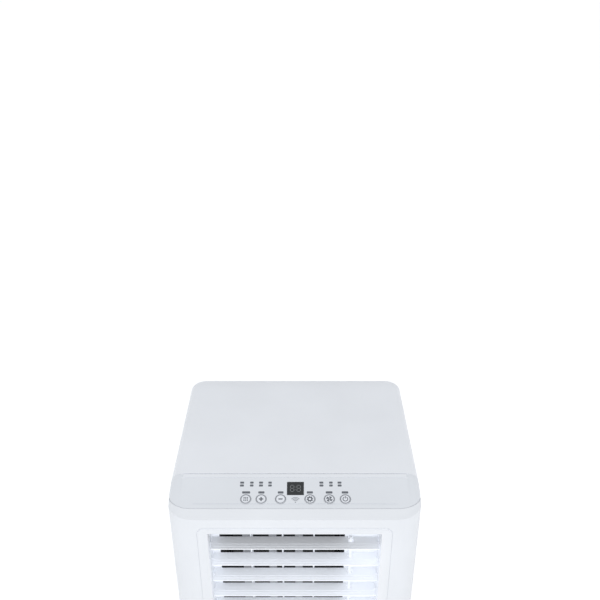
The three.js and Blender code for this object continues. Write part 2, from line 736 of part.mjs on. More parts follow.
// ---- Base ----
const TRAY_WALL = 2.5;
const TRAY_FLOOR = 3;
const SOCKET = { outerR: 9, boreR: 4.3, top: TRAY_BOTTOM + 20 };
const CASTER_PLACES = [
  [-CASTER_X, -CASTER_Y],
  [CASTER_X, -CASTER_Y],
  [-CASTER_X, CASTER_Y],
  [CASTER_X, CASTER_Y],
];
function baseTray() {
  const inset = WALL + GAP;
  const rim = planOutline({ inset });
  const sockets = CASTER_PLACES.map((at) =>
    rod("z", SOCKET.outerR, TRAY_BOTTOM + 1, SOCKET.top, at, 16),
  );
  const bores = CASTER_PLACES.map((at) =>
    rod("z", SOCKET.boreR, TRAY_BOTTOM - PAST, SOCKET.top - TRAY_FLOOR, at, 12),
  );
  const tray = cut(
    loft([
      atHeight(planOutline({ inset: inset + 5 }), TRAY_BOTTOM),
      atHeight(rim, TRAY_BOTTOM + 5),
      atHeight(rim, TRAY_TOP),
    ]),
    prism(planOutline({ inset: inset + TRAY_WALL }), TRAY_BOTTOM + TRAY_FLOOR, TRAY_TOP + PAST),
    rod("y", DRAIN_HOLE_R, HALF_D - 20, HALF_D, [LOWER_DRAIN_X, LOWER_DRAIN_Z], 12),
  );
  return cut(join(tray, ...sockets), ...bores);
}

// A caster's fork: a swivel stem and plate, two cheeks and the wheel's axle behind the stem.
const FORK = { plateR: 12.5, bottom: 37, stemR: 4, cheekX: 9.6, cheekT: 2.4, axleR: 3, tipR: 6 };
function casterFork(x, y) {
  const wheelY = y + CASTER_TRAIL;
  const cheek = (side) => {
    const from = x + side * FORK.cheekX - FORK.cheekT / 2;
    const outline = new THREE.Shape();
    outline.moveTo(y - 9, FORK.bottom + 0.2);
    outline.lineTo(y + 9, FORK.bottom + 0.2);
    outline.lineTo(wheelY + FORK.tipR, CASTER_WHEEL_R + 2);
    outline.absarc(wheelY, CASTER_WHEEL_R, FORK.tipR, 0.3, -Math.PI + 0.3, true);
    outline.closePath();
    return push(outline, "x", from, from + FORK.cheekT, 4);
  };
  return join(
    rod("z", FORK.plateR, FORK.bottom, TRAY_BOTTOM - GAP, [x, y], 20),
    rod("z", FORK.stemR, FORK.bottom + 1, TRAY_BOTTOM + 15, [x, y], 12),
    cheek(-1),
    cheek(1),
    rod("x", FORK.axleR, x - 10, x + 10, [wheelY, CASTER_WHEEL_R], 12),
  );
}

// A wheel whose flats, one of them at the bottom, all touch its true radius.
const WHEEL_SIDES = 20;
const WHEEL = { halfT: 7.8, chamfer: 3, boreR: 3.4 };
function casterWheel(x, y) {
  const { halfT, chamfer, boreR } = WHEEL;
  const profile = [
    [boreR, -halfT],
    [CASTER_WHEEL_R - chamfer, -halfT],
    [CASTER_WHEEL_R, chamfer - halfT],
    [CASTER_WHEEL_R, halfT - chamfer],
    [CASTER_WHEEL_R - chamfer, halfT],
    [boreR, halfT],
    [boreR, -halfT],
  ].map(([r, h]) => new THREE.Vector2(r / Math.cos(Math.PI / WHEEL_SIDES), h));
  const geometry = new THREE.LatheGeometry(profile, WHEEL_SIDES).rotateY(Math.PI / WHEEL_SIDES);
  geometry.rotateZ(-Math.PI / 2).translate(x, y + CASTER_TRAIL, CASTER_WHEEL_R);
  return solid(geometry);
}

// ---- Inside: air side ----
// Side view of the fan's housing: round at the back, and drawn out to the outlet's sleeve.
const SCROLL_WALL = 2;
const THROAT = { length: 22, step: 4, lowAngle: 0.25, highAngle: 0.35 };
function scrollProfile(grow) {
  const shape = new THREE.Shape();
  const { y, z } = UPPER_FAN;
  const front = DUCT_END_Y + GAP;
  const low = OPENING_BOTTOM - grow;
  const high = OPENING_TOP + grow;
  shape.moveTo(front, low);
  shape.lineTo(front + THROAT.length, low + THROAT.step);
  shape.absarc(
    y,
    z,
    UPPER_FAN.scrollR + grow,
    -Math.PI / 2 - THROAT.lowAngle,
    Math.PI / 2 + THROAT.highAngle,
    false,
  );
  shape.lineTo(front + THROAT.length, high - THROAT.step);
  shape.lineTo(front, high);
  shape.closePath();
  return shape;
}

function upperScroll() {
  const left = DUCT_LEFT;
  const right = DUCT_RIGHT;
  const outer = push(scrollProfile(SCROLL_WALL), "x", left - SCROLL_WALL, right + SCROLL_WALL, 10);
  const inner = push(scrollProfile(0), "x", left, right, 10);
  const mouth = box(left, right, DUCT_END_Y - PAST, DUCT_END_Y + 6, OPENING_BOTTOM + 1, OPENING_TOP - 1);
  const centre = [UPPER_FAN.y, UPPER_FAN.z];
  const inlets = rod("x", UPPER_FAN.inletR, left - THROUGH, right + THROUGH, centre, 24);
  return cut(outer, inner, mouth, inlets);
}

// A squirrel-cage wheel: a hub disc and two end rings, with the blades between them.
const CAGE = { share: 0.78, ring: 3, bladeT: 2, bladeCount: 10, disc: 2.5, bossR: 9, sides: 16 };
function fanWheel({ axis, at, radius, from, to, discAt }) {
  const inner = radius * CAGE.share;
  const ring = (a, b) =>
    cut(rod(axis, radius, a, b, at, CAGE.sides), rod(axis, inner, a - 1, b + 1, at, CAGE.sides));
  const hub = rod(axis, radius, discAt, discAt + CAGE.disc, at, CAGE.sides);
  const boss = rod(axis, CAGE.bossR, discAt - 6, discAt + 8, at, 12);
  const blades = [];
  for (let k = 0; k < CAGE.bladeCount; k++) {
    const geometry = new THREE.BoxGeometry(radius - inner - 1, CAGE.bladeT, to - from - 1);
    geometry.translate((radius + inner) / 2, 0, 0);
    geometry.rotateZ((k / CAGE.bladeCount) * 2 * Math.PI);
    const middle = (from + to) / 2;
    if (axis === "x") geometry.rotateY(Math.PI / 2).translate(middle, at[0], at[1]);
    if (axis === "y") geometry.rotateX(Math.PI / 2).translate(at[0], middle, at[1]);
    blades.push(solid(geometry));
  }
  const cage = join(ring(from, from + CAGE.ring), ring(to - CAGE.ring, to), hub, boss, ...blades);
  return cut(cage, rod(axis, FAN_BORE_R, from - 20, to + 20, at, 10));
}

function motor({ axis, at, from, to, radius, shaft }) {
  const can = rod(axis, radius, from, to, at, 16);
  const nose = rod(axis, radius * 0.35, from - 3, to + 3, at, 10);
  return join(can, nose, rod(axis, SHAFT_R, ...shaft, at, 10));
}

// A finned coil block with the return bends of its tubes at both ends.
const BEND = { reach: 7, margin: 5, share: 0.4 };
function exchanger({ low, high, rows }) {
  const { halfW, front, back } = EXCHANGER;
  const pieces = [box(-halfW, halfW, front, back, low, high)];
  const pitch = (high - low) / rows;
  const half = (pitch * BEND.share) / 2;
  for (let i = 0; i < rows; i++) {
    const z = low + (i + 0.5) * pitch;
    const bend = (x0, x1) => box(x0, x1, front + BEND.margin, back - BEND.margin, z - half, z + half);
    pieces.push(bend(-halfW - BEND.reach, 1 - halfW), bend(halfW - 1, halfW + BEND.reach));
  }
  return join(...pieces);
}

// The plate between the two halves, with a walled tray under the evaporator and its drain spout.
const DRIP = { thick: 3, halfW: 140, wall: 2, top: 20, spoutR: 5.5, boreR: 4 };
function dripTray() {
  const { front, back } = EXCHANGER;
  const floor = PARTITION_Z + DRIP.thick;
  const outline = planOutline({ inset: WALL + 1, frontY: DUCT_END_Y + 2, frontR: 12 });
  const block = (inset, low, high) =>
    box(inset - DRIP.halfW, DRIP.halfW - inset, front - 10 + inset, back + 8 - inset, low, high);
  const at = [DRAIN_X, UPPER_DRAIN_Z];
  const pipePassage = box(-160, -142, 30, 112, PARTITION_Z - PAST, PARTITION_Z + 30);
  return cut(
    join(
      prism(outline, PARTITION_Z, floor),
      cut(block(0, PARTITION_Z + 1, PARTITION_Z + DRIP.top), block(DRIP.wall, floor, floor + 27)),
      rod("y", DRIP.spoutR, back + 7, HALF_D - WALL - GAP, at, 12),
    ),
    rod("y", DRIP.boreR, back, HALF_D, at, 10),
    pipePassage,
  );
}

// ---- Inside: hot side ----
// A round housing that opens upwards and blows out at the back through the exhaust collar.
const HOUSING_DEPTH = 80;
function lowerScroll() {
  const { x, z, scrollR, inletR } = LOWER_FAN;
  const top = PARTITION_Z - 8;
  const shell = (grow, y0, y1) =>
    join(
      rod("y", scrollR + grow, y0, y1, [x, z], 28),
      box(x - scrollR + 10 - grow, x + scrollR + grow, y0, y1, z, top + grow),
    );
  return cut(
    shell(SCROLL_WALL, 0, HOUSING_DEPTH),
    shell(0, SCROLL_WALL, HOUSING_DEPTH - SCROLL_WALL),
    rod("y", inletR, -PAST, HOUSING_DEPTH + THROUGH, [x, z], 24),
    rod("y", EXHAUST.bore, HOUSING_DEPTH - THROUGH, HOUSING_DEPTH + THROUGH, [EXHAUST.x, EXHAUST.z], 32),
  );
}

// A lathed can, from points of radius and height, standing at a place.
function can(profile, x, y, sides) {
  const points = profile.map(([r, h]) => new THREE.Vector2(r, h));
  const geometry = new THREE.LatheGeometry(points, sides);
  return solid(geometry.rotateX(Math.PI / 2).translate(x, y, 0));
}

function compressor() {
  const { x, y, r, bottom, top } = COMPRESSOR;
  const profile = [
    [0, bottom],
    [r - 10, bottom],
    [r, bottom + 10],
    [r, top - 22],
    [r * 0.82, top - 8],
    [r * 0.4, top],
    [0, top],
  ];
  const feet = [0, 1, 2].map((k) => {
    const angle = (k / 3) * 2 * Math.PI + 0.5;
    const at = [x + (r + 4) * Math.cos(angle), y + (r + 4) * Math.sin(angle)];
    return rod("z", 9, TRAY_BOTTOM + TRAY_FLOOR + GAP, bottom + 4, at, 12);
  });
  const plate = rod("z", r + 2, bottom, bottom + 3, [x, y], 18);
  return join(can(profile, x, y, 18), plate, ...feet);
}

function accumulator() {
  const { x, y, r, bottom, top } = ACCUMULATOR;
  const profile = [
    [0, bottom],
    [r * 0.6, bottom + 2],
    [r, bottom + 12],
    [r, top - 12],
    [r * 0.6, top - 2],
    [0, top],
  ];
  return can(profile, x, y, 16);
}

// A tub with a cover joined on, and a slot in its back for the cables.
function controlBox() {
  const { x0, x1, y0, y1, z0, z1, wall } = CONTROL_BOX;
  const tub = cut(
    box(x0, x1, y0, y1, z0, z1),
    box(x0 + wall, x1 - wall, y0 + wall, y1 - wall, z0 + wall, z1 + PAST),
  );
  const cover = box(x0 - 1, x1 + 1, y0 - 1, y1 + 1, z1 - 1, z1 + 3);
  const cableSlot = box(x0 + 30, x1 - 35, y1 - 6, y1 + 4, z1 - 25, z1 - 10);
  return cut(join(tub, cover), cableSlot);
}

// ---- Assembly ----
const body = casing();
add("front_shell", frontShell(body), SHELL_WHITE);
add("rear_shell", rearShell(body), SHELL_WHITE);
add("top_cover", topCover(), LID_GREY);
add("control_panel", controlPanel(), LID_GREY);
add("display_window", displayWindow(), DISPLAY_BLACK);
BUTTON_X.forEach((x, i) => add(`button_${i + 1}`, button(x), BUTTON_GREY));
add("control_board", controlBoard(), CIRCUIT_GREEN);

add("louvre_frame", louvreFrame(), SHELL_WHITE);
for (let i = 0; i < LOUVRE_COUNT; i++) {
  add(`louvre_${i + 1}`, louvre(), LOUVRE_WHITE).position.set(0, LOUVRE_PIVOT_Y, louvreZ(i));
}
add("louvre_link", louvreLink(), LOUVRE_WHITE);
for (let i = 0; i < VANE_COUNT; i++) {
  const mesh = add(`vane_${i + 1}`, vane(), LOUVRE_WHITE);
  mesh.rotation.y = -Math.PI / 2;
  mesh.position.set(vaneX(i), VANE_PIVOT_Y, 0);
}
add("vane_link", vaneLink(), LOUVRE_WHITE);

add("intake_grille", slottedPanel(UPPER_WINDOW, 12), SHELL_WHITE);
add("air_filter", airFilter(), FILTER_GREY);
add("condenser_grille", slottedPanel(LOWER_WINDOW, 9), SHELL_WHITE);
add("exhaust_collar", exhaustCollar(), GREY_PLASTIC);
add("drain_plug_upper", drainPlug(DRAIN_X, UPPER_DRAIN_Z, HALF_D + GAP), RUBBER);
add("drain_plug_lower", drainPlug(LOWER_DRAIN_X, LOWER_DRAIN_Z, HALF_D - WALL), RUBBER);
add("cord_gland", cordGland(), RUBBER);
add("handle_left", handleCup(-1), GREY_PLASTIC);
add("handle_right", handleCup(1), GREY_PLASTIC);

add("base_tray", baseTray(), SHELL_WHITE);
CASTER_PLACES.forEach(([x, y], i) => {
  add(`caster_fork_${i + 1}`, casterFork(x, y), DARK_PLASTIC);
  add(`caster_wheel_${i + 1}`, casterWheel(x, y), RUBBER);
});

const upperAxis = { axis: "x", at: [UPPER_FAN.y, UPPER_FAN.z] };
const lowerAxis = { axis: "y", at: [LOWER_FAN.x, LOWER_FAN.z] };
const upperWheel = { ...upperAxis, radius: UPPER_FAN.wheelR, from: -92, to: 58, discAt: -20 };
const lowerWheel = { ...lowerAxis, radius: LOWER_FAN.wheelR, from: 8, to: 70, discAt: 12 };
add("upper_scroll", upperScroll(), DARK_PLASTIC);
add("upper_fan", fanWheel(upperWheel), DARK_PLASTIC);
add("upper_motor", motor({ ...upperAxis, from: 82, to: 138, radius: 40, shaft: [-30, 90] }), STEEL);
add("evaporator", exchanger(EVAPORATOR), ALUMINIUM);
add("drip_tray", dripTray(), GREY_PLASTIC);
add("lower_scroll", lowerScroll(), DARK_PLASTIC);
add("lower_fan", fanWheel(lowerWheel), DARK_PLASTIC);
add("lower_motor", motor({ ...lowerAxis, from: -66, to: -8, radius: 38, shaft: [-20, 26] }), STEEL);
add("condenser", exchanger(CONDENSER), ALUMINIUM);
add("compressor", compressor(), BLACK_PAINT);
add("accumulator", accumulator(), BLACK_PAINT);
add("control_box", controlBox(), GREY_PLASTIC);
add("suction_pipe", pipe(SUCTION_PIPE), COPPER);
add("discharge_pipe", pipe(DISCHARGE_PIPE), COPPER);
add("capillary_tube", pipe(CAPILLARY_TUBE), COPPER);

export default group;
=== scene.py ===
"""Looks of a compact portable air conditioner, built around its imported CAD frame.

Metres, +Z up, front towards -Y. Hard parts keep the frame's exact shape: each is a copy of its CAD
node with its edges rounded, or a finer piece worked out from that node's box. Places come from the
frame; the few sizes that it doesn't hold are named below.
"""

import json
import math

import bmesh
import bpy
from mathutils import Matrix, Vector


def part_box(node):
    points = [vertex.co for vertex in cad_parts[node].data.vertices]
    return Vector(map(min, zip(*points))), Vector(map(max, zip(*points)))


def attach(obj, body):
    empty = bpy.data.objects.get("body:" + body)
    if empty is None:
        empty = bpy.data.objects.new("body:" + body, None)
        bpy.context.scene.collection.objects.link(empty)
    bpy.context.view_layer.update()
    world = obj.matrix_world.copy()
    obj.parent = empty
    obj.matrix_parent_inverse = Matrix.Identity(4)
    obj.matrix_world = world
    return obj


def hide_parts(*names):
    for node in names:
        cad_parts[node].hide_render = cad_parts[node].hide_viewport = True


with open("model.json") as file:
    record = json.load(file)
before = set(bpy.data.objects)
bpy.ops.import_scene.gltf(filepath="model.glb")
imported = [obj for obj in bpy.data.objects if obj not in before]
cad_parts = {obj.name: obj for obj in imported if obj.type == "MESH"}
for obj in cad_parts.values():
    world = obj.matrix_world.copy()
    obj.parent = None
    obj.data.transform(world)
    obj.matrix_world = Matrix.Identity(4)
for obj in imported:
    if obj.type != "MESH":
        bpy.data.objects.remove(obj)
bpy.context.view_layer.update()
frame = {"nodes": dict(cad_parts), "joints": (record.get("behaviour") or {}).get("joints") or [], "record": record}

MM = 0.001
BODY_OF = {node: body for body, nodes in frame["record"]["behaviour"]["bodies"].items() for node in nodes}
SLOT_OF = {row["node"]: row["material_slot"] for row in frame["record"]["subparts"]}
JOINTS = {joint["name"]: joint for joint in frame["joints"]}
LOUVRES = sorted(node for node in frame["nodes"] if node[:7] == "louvre_" and node[7:].isdigit())
BUTTONS = sorted(node for node in frame["nodes"] if node.startswith("button_"))


# ---- Camera, light and stage ----
CAMERA_PLACE = (0.0069, -0.812, 1.354)
CAMERA_PITCH = 28.9  # degrees below the horizon
CAMERA_LENS = 43.05
SENSOR = 36.0
FLOOR_HALF = 60
FLOOR_GLOW = 0.32
WORLD_COLOR = (0.97, 0.985, 1.0)
WORLD_STRENGTH = 0.78
LIGHT_TARGET = (0, 0, 0.45)
LIGHTS = (  # name, place, width in metres, watts
    ("key", (-1.3, -1.9, 3.3), 2.8, 9),
    ("front", (0.1, -2.6, 2.3), 1.8, 18),
    ("fill", (1.9, -1.5, 2.8), 2.4, 4),
)


def make_camera():
    data = bpy.data.cameras.new("camera")
    data.lens = CAMERA_LENS
    data.sensor_width = SENSOR
    data.clip_end = 200
    camera = bpy.data.objects.new("camera", data)
    camera.location = CAMERA_PLACE
    camera.rotation_euler = (math.radians(90 - CAMERA_PITCH), 0, 0)
    bpy.context.scene.collection.objects.link(camera)
    bpy.context.scene.camera = camera


def area_light(name, place, target, size, watts):
    data = bpy.data.lights.new(name, "AREA")
    data.shape = "DISK"
    data.size = size
    data.energy = watts
    light = bpy.data.objects.new(name, data)
    light.location = place
    light.rotation_euler = (Vector(target) - Vector(place)).to_track_quat("-Z", "Y").to_euler()
    bpy.context.scene.collection.objects.link(light)


def make_light():
    world = bpy.data.worlds.new("studio")
    bpy.context.scene.world = world
    world.use_nodes = True
    background = world.node_tree.nodes["Background"]
    background.inputs["Color"].default_value = (*WORLD_COLOR, 1)
    background.inputs["Strength"].default_value = WORLD_STRENGTH
    for name, place, size, watts in LIGHTS:
        area_light(name, place, LIGHT_TARGET, size, watts)
    bpy.context.scene.view_settings.view_transform = "Standard"


def make_floor():
    mesh = bpy.data.meshes.new("floor")
    h = FLOOR_HALF
    mesh.from_pydata([(-h, -h, 0), (h, -h, 0), (h, h, 0), (-h, h, 0)], [], [(0, 1, 2, 3)])
    floor = bpy.data.objects.new("floor", mesh)
    bpy.context.scene.collection.objects.link(floor)
    material = surface("floor", (0.92, 0.925, 0.93), 0.75, grain=300, blotch=40)
    give_light(material, (1, 1, 1), FLOOR_GLOW)
    mesh.materials.append(material)


# ---- Materials ----
class Nodes:
    """A small helper that adds and links shader nodes."""

    def __init__(self, name):
        self.material = bpy.data.materials.new(name)
        self.material.use_nodes = True
        self.tree = self.material.node_tree
        self.shader = self.tree.nodes["Principled BSDF"]
        self.place = self.add("ShaderNodeTexCoord").outputs["Object"]

    def add(self, kind, **inputs):
        node = self.tree.nodes.new(kind)
        for key, value in inputs.items():
            node.inputs[key.replace("_", " ")].default_value = value
        return node

    def link(self, output, socket):
        self.tree.links.new(output, socket)

    def noise(self, scale, detail=3.0, stretch=None):
        node = self.add("ShaderNodeTexNoise", Scale=scale, Detail=detail)
        source = self.place
        if stretch:
            mapping = self.add("ShaderNodeMapping")
            mapping.inputs["Scale"].default_value = stretch
            self.link(source, mapping.inputs["Vector"])
            source = mapping.outputs["Vector"]
        self.link(source, node.inputs["Vector"])
        return node.outputs["Fac"]

    def spread(self, value, low, high, start=0.3, end=0.7):
        node = self.add("ShaderNodeMapRange", From_Min=start, From_Max=end, To_Min=low, To_Max=high)
        self.link(value, node.inputs["Value"])
        return node.outputs["Result"]

    def mix(self, factor, first, second):
        node = self.add("ShaderNodeMix")
        node.data_type = "RGBA"
        self.link(factor, node.inputs["Factor"])
        # A Mix node has sockets of every kind: 6 and 7 are its colours, output 2 their mix.
        for socket, value in ((node.inputs[6], first), (node.inputs[7], second)):
            if isinstance(value, tuple):
                socket.default_value = (*value, 1)
            else:
                self.link(value, socket)
        return node.outputs[2]

    def bump(self, height, strength, distance):
        node = self.add("ShaderNodeBump", Strength=strength, Distance=distance)
        self.link(height, node.inputs["Height"])
        self.link(node.outputs["Normal"], self.shader.inputs["Normal"])


MOTTLE = (0.965, 1.02)  # darkest and lightest blotches, as shares of the colour
# Glow of painted light on the louvres' white plastic, lifting them out of the recess's shade
LOUVRE_PAINTED_LIGHT = 0.07


def surface(
    name, color, roughness, grain=1500, blotch=9, metal=0.0, stretch=None, wear=0.0, depth=0.05, coat=0.0
):
    """Moulded plastic, rubber, paint or metal: faint blotches, a fine grain and worn, lighter edges."""
    n = Nodes(name)
    n.shader.inputs["Metallic"].default_value = metal
    n.shader.inputs["Coat Weight"].default_value = coat
    dark = tuple(c * MOTTLE[0] for c in color)
    light = tuple(min(1.0, c * MOTTLE[1]) for c in color)
    tone = n.mix(n.spread(n.noise(blotch, 4.0), 0, 1), dark, light)
    if wear:
        edge = n.add("ShaderNodeNewGeometry").outputs["Pointiness"]
        rub = n.spread(edge, 0, wear, 0.52, 0.6)
        tone = n.mix(rub, tone, tuple(min(1.0, c * 1.4 + 0.05) for c in color))
    n.link(tone, n.shader.inputs["Base Color"])
    sheen = n.spread(n.noise(blotch * 7, 3.0, stretch), roughness - 0.05, roughness + 0.07)
    n.link(sheen, n.shader.inputs["Roughness"])
    n.bump(n.noise(grain, 2.0, stretch), 0.25, depth * MM)
    return n.material


def give_light(material, color, strength):
    shader = material.node_tree.nodes["Principled BSDF"]
    shader.inputs["Emission Color"].default_value = (*color, 1)
    shader.inputs["Emission Strength"].default_value = strength


def make_materials():
    materials = {
        "shell_white": surface("shell_white", (0.72, 0.74, 0.775), 0.42, wear=0.1),
        "lid_grey": surface("lid_grey", (0.80, 0.82, 0.86), 0.36, wear=0.1),
        # A darker copy of the lid's grey: painted shade on the sloping control strip.
        "strip_painted_shade": surface("strip_painted_shade", (0.725, 0.75, 0.79), 0.38, wear=0.1),
        # Paler than the shell as painted light, for louvres shaded in their recess; its glow is set below.
        "louvre_white": surface("louvre_white", (0.90, 0.925, 0.97), 0.45),
        "button_grey": surface("button_grey", (0.76, 0.785, 0.83), 0.4),
        "display_black": surface("display_black", (0.018, 0.021, 0.023), 0.22, grain=400, depth=0.01),
        "dark_plastic": surface("dark_plastic", (0.028, 0.029, 0.032), 0.55, wear=0.15),
        "grey_plastic": surface("grey_plastic", (0.36, 0.37, 0.39), 0.5, wear=0.1),
        "caster_rubber": surface(
            "caster_rubber", (0.035, 0.035, 0.038), 0.78, grain=900, depth=0.15, wear=0.2
        ),
        "seal_rubber": surface("seal_rubber", (0.045, 0.045, 0.05), 0.75, grain=900, depth=0.1),
        "aluminium": surface("aluminium", (0.72, 0.73, 0.75), 0.35, metal=0.95, stretch=(1, 1, 25)),
        "copper": surface("copper", (0.80, 0.42, 0.26), 0.3, metal=1.0, blotch=30),
        "steel": surface("steel", (0.56, 0.57, 0.59), 0.32, metal=1.0, stretch=(1, 30, 1)),
        "black_paint": surface("black_paint", (0.018, 0.018, 0.02), 0.38, grain=700, coat=0.3),
        "circuit_green": surface("circuit_green", (0.03, 0.16, 0.07), 0.4, coat=0.4),
        "filter_grey": surface("filter_grey", (0.12, 0.13, 0.145), 0.7),
        "print_grey": surface("print_grey", (0.13, 0.14, 0.16), 0.6, grain=3000, depth=0.01),
        "print_faint": surface("print_faint", (0.34, 0.355, 0.385), 0.6, grain=3000, depth=0.01),
        "print_ring": surface("print_ring", (0.27, 0.28, 0.31), 0.6, grain=3000, depth=0.01),
        "filter_mesh": surface("filter_mesh", (0.05, 0.055, 0.06), 0.7, grain=2500, depth=0.02),
        "segment": surface("segment", (0.17, 0.18, 0.185), 0.4, grain=3000, depth=0.01),
    }
    # The louvres' pale colour and this glow are painted light: they lighten the louvres and the outlet's inner
    # walls where the recess shades them. Its strength was set.
    give_light(materials["louvre_white"], (0.93, 0.95, 1.0), LOUVRE_PAINTED_LIGHT)
    return materials


# ---- Making pieces ----
# The control strip's darker grey is painted shade on the same plastic as the lid.
LOOK_OF = {"control_panel": "strip_painted_shade"}  # where a look differs from the slot's
ROUNDING = 0.35
ROUNDING_OF = {"front_shell": 0.6, "rear_shell": 0.6, "top_cover": 0.5}  # where it is more than that
WELD = 0.002  # points closer than this are one
FLAT = 0.6  # degrees between faces that count as one plane


def span(node):
    """A node's lowest and highest corners in millimetres."""
    low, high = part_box(node)
    return low / MM, high / MM


def middle_of(node):
    """The middle of a node's box, in metres."""
    low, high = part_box(node)
    return (low + high) / 2


def place_piece(name, mesh, material, body, stands_for=()):
    piece = bpy.data.objects.new(name, mesh)
    bpy.context.scene.collection.objects.link(piece)
    mesh.materials.clear()
    mesh.materials.append(MATERIALS[material])
    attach(piece, body)
    if stands_for:
        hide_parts(*stands_for)
    return piece


def round_edges(piece, width, segments=2, angle=30):
    bevel = piece.modifiers.new("rounding", "BEVEL")
    bevel.width = width * MM
    bevel.segments = segments
    bevel.limit_method = "ANGLE"
    bevel.angle_limit = math.radians(angle)
    bevel.harden_normals = True
    for polygon in piece.data.polygons:
        polygon.use_smooth = True
    normals = piece.modifiers.new("normals", "WEIGHTED_NORMAL")
    normals.keep_sharp = True


def finished(node, width=ROUNDING, angle=30, segments=2):
    """A CAD node's own shape with its flat faces made whole and its sharp edges rounded."""
    slot = SLOT_OF[node]
    bm = bmesh.new()
    bm.from_mesh(frame["nodes"][node].data)
    bmesh.ops.remove_doubles(bm, verts=bm.verts, dist=WELD * MM)
    bmesh.ops.dissolve_limit(bm, angle_limit=math.radians(FLAT), verts=bm.verts, edges=bm.edges)
    material = LOOK_OF.get(node, slot)
    piece = place_piece(node + "_finished", mesh_of(bm, node), material, BODY_OF[node], (node,))
    round_edges(piece, width, segments, angle)
    return piece


def mesh_of(bm, name):
    """Ends a bmesh, with its faces turned outwards, as a mesh."""
    bmesh.ops.recalc_face_normals(bm, faces=bm.faces)
    mesh = bpy.data.meshes.new(name)
    bm.to_mesh(mesh)
    bm.free()
    return mesh


def detailed(node, bm, width=0.4, angle=30, segments=2):
    """A finer piece that stands for a CAD node, on the node's body and in its finish."""
    slot = SLOT_OF[node]
    piece = place_piece(node + "_detail", mesh_of(bm, node), slot, BODY_OF[node], (node,))
    round_edges(piece, width, segments, angle)
    return piece


def added(name, bm, material, body, width=0.0):
    """A further small piece on a body."""
    piece = place_piece(name, mesh_of(bm, name), material, body, ())
    if width:
        round_edges(piece, width)
    return piece


# ---- Shapes, in millimetres ----
def bridge(bm, first, second):
    """Side faces between two loops of equal length."""
    for i, point in enumerate(first):
        j = (i + 1) % len(first)
        bm.faces.new((point, first[j], second[j], second[i]))


def prism(bm, outline, place, low, high):
    """A closed slab over a flat outline of points, drawn through a placing function."""
    floor = [bm.verts.new(place(x, y, low) * MM) for x, y in outline]
    roof = [bm.verts.new(place(x, y, high) * MM) for x, y in outline]
    bm.faces.new(list(reversed(floor)))
    bm.faces.new(roof)
    bridge(bm, floor, roof)


def outline_ring(bm, outer, inner, place, low, high):
    """A closed flat ring between two outlines with the same number of points."""
    levels = ((inner, low), (outer, low), (outer, high), (inner, high))
    loops = [[bm.verts.new(place(x, y, level) * MM) for x, y in line] for line, level in levels]
    for k in range(4):
        bridge(bm, loops[k], loops[(k + 1) % 4])


def ring(bm, centre, radii, place, low, high, steps=48):
    """A closed flat ring between two radii."""
    inner, outer = ([polar(centre, r, 360 * k / steps) for k in range(steps)] for r in radii)
    outline_ring(bm, outer, inner, place, low, high)


def polar(centre, radius, degrees):
    a = math.radians(degrees)
    return centre[0] + radius * math.cos(a), centre[1] + radius * math.sin(a)


def arc(centre, radii, start, end, steps=16):
    """The outline of a stretch of a flat ring."""
    angles = [start + (end - start) * k / steps for k in range(steps + 1)]
    outer = [polar(centre, radii[1], a) for a in angles]
    inner = [polar(centre, radii[0], a) for a in reversed(angles)]
    return outer + inner


def bar(centre, width, height, corner=0.0):
    """A rectangle's outline, with its corners rounded if a radius is given."""
    if not corner:
        half = ((-1, -1), (1, -1), (1, 1), (-1, 1))
        return [(centre[0] + a * width / 2, centre[1] + b * height / 2) for a, b in half]
    outline = []
    for quarter, (a, b) in enumerate(((1, 1), (-1, 1), (-1, -1), (1, -1))):
        at = (centre[0] + a * (width / 2 - corner), centre[1] + b * (height / 2 - corner))
        outline += [polar(at, corner, 90 * quarter + 30 * k) for k in range(4)]
    return outline


def cuboid(bm, low, high):
    x0, y0, z0 = low
    x1, y1, z1 = high
    prism(bm, [(x0, y0), (x1, y0), (x1, y1), (x0, y1)], lambda x, y, h: Vector((x, y, h)), z0, z1)


AXES = {
    "x": lambda u, v, h: Vector((h, u, v)),
    "y": lambda u, v, h: Vector((v, h, u)),
    "z": lambda u, v, h: Vector((u, v, h)),
}


def lathe(bm, profile, axis, centre, sides=64):
    """Turns points of radius and height about an axis. An open profile starts and ends on the axis."""
    closed = profile[0] == profile[-1]
    points = profile[:-1] if closed else profile
    loops = []
    for radius, height in points:
        steps = sides if radius > 0 else 1
        around = [polar((0, 0), radius, 360 * k / sides) for k in range(steps)]
        loops.append([bm.verts.new((AXES[axis](u, v, height) + Vector(centre)) * MM) for u, v in around])
    pairs = list(zip(loops, loops[1:])) + ([(loops[-1], loops[0])] if closed else [])
    for first, second in pairs:
        if len(first) == len(second):
            bridge(bm, first, second)
            continue
        tip, rim = (first[0], second) if len(first) == 1 else (second[0], first)
        for i, point in enumerate(rim):
            bm.faces.new((tip, point, rim[(i + 1) % sides]))


def on_axis(axis, centre):
    """A placing function for shapes drawn flat across an axis."""
    return lambda u, v, h: AXES[axis](u, v, h) + Vector(centre)


def sweep(bm, points, radius, sides=16):
    """A round rod with flat ends along points."""
    path = [Vector(p) for p in points]
    side = None
    loops = []
    for i, point in enumerate(path):
        ahead = (path[min(i + 1, len(path) - 1)] - path[max(i - 1, 0)]).normalized()
        side = (side or ahead.orthogonal()).normalized()
        side = (side - ahead * side.dot(ahead)).normalized()
        up = ahead.cross(side)
        ends = [polar((0, 0), radius, 360 * k / sides) for k in range(sides)]
        loops.append([bm.verts.new((point + side * u + up * v) * MM) for u, v in ends])
    for first, second in zip(loops, loops[1:]):
        bridge(bm, first, second)
    bm.faces.new(list(reversed(loops[0])))
    bm.faces.new(loops[-1])


